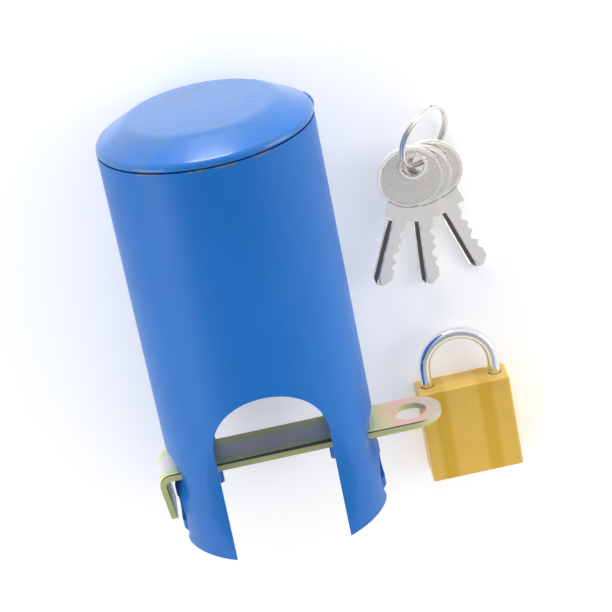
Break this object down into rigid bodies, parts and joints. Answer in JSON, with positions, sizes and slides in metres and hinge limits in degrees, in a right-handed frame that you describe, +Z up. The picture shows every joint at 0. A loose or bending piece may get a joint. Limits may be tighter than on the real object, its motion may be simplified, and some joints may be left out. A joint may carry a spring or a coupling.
{
  "type": "trailer coupler lock",
  "caption": "Round steel tube with a domed cap and two arched openings, a hooked flat locking bar through its legs, and a padlock with keys on a ring.",
  "frame": {"origin": "centre of the tube's open end, on its axis; the surface it lies on is one tube radius (38 mm) below", "axes": "+Y along the tube towards its cap, +X along the locking bar towards its padlock eye, +Z up"},
  "size_m": [0.1349, 0.1761, 0.076],
  "materials": {
    "blue_paint": "gloss",
    "weld_paint": "rough, painted over",
    "yellow_zinc": "satin, iridescent yellow zinc",
    "yellow_lacquer": "satin",
    "chrome": "polished",
    "brass": "machined",
    "steel": "plain",
    "nickel": "bright nickel"
  },
  "bodies": {
    "shell": {"tube": "blue_paint", "end_cap": "blue_paint", "cap_weld_tacks": "weld_paint"},
    "bar": {"locking_bar": "yellow_zinc"},
    "padlock_case": {"padlock_body": "yellow_lacquer", "shackle_spring": "steel", "shackle_stop_pin": "steel", "latch_spring": "steel", "latch_bore_plug": "yellow_lacquer", "plug_retaining_pin": "steel", "chamber_cover_1": "brass", "chamber_cover_2": "brass", "chamber_cover_3": "brass", "chamber_cover_4": "brass", "driver_pin_1": "brass", "driver_pin_2": "brass", "driver_pin_3": "brass", "driver_pin_4": "brass", "pin_spring_1": "steel", "pin_spring_2": "steel", "pin_spring_3": "steel", "pin_spring_4": "steel"},
    "shackle_rod": {"shackle": "chrome"},
    "plug": {"lock_plug": "brass", "key_pin_1": "brass", "key_pin_2": "brass", "key_pin_3": "brass", "key_pin_4": "brass"},
    "latch": {"latch_bolt": "steel"},
    "ring": {"key_ring": "nickel"},
    "key_1_body": {"key_1": "nickel"},
    "key_2_body": {"key_2": "nickel"},
    "key_3_body": {"key_3": "nickel"}
  },
  "joints": [
    {"name": "bar_slide", "type": "slide", "parent": "shell", "child": "bar", "axis": [-1, 0, 0], "range_m": [-0.001, 0.11]},
    {"name": "padlock_aside", "type": "slide", "parent": "shell", "child": "padlock_case", "axis": [1, 0, 0], "range_m": [0, 0.1]},
    {"name": "shackle_slide", "type": "slide", "parent": "padlock_case", "child": "shackle_rod", "axis": [0, 1, 0], "range_m": [0, 0.0115]},
    {"name": "plug_turn", "type": "hinge", "parent": "padlock_case", "child": "plug", "pos_m": [0.0745, -0.0173, -0.0315], "axis": [0, 1, 0], "range_deg": [0, 90]},
    {"name": "latch_slide", "type": "slide", "parent": "padlock_case", "child": "latch", "axis": [-1, 0, 0], "range_m": [0, 0.002]},
    {"name": "keys_lift", "type": "slide", "parent": "shell", "child": "ring", "axis": [0, 0, 1], "range_m": [0, 0.06]},
    {"name": "key_1_swing", "type": "hinge", "parent": "ring", "child": "key_1_body", "pos_m": [0.07044, 0.10949, -0.0298], "axis": [0, -0.0798, 0.9968], "range_deg": [-25, 25]},
    {"name": "key_2_swing", "type": "hinge", "parent": "ring", "child": "key_2_body", "pos_m": [0.07255, 0.10879, -0.03196], "axis": [0, -0.0798, 0.9968], "range_deg": [-25, 25]},
    {"name": "key_3_swing", "type": "hinge", "parent": "ring", "child": "key_3_body", "pos_m": [0.07515, 0.10888, -0.03405], "axis": [0, -0.0798, 0.9968], "range_deg": [-25, 25]}
  ],
  "couplings": [
    {"joint": "latch_slide", "follows": "plug_turn", "m_per_rad": 0.0012732}
  ]
}
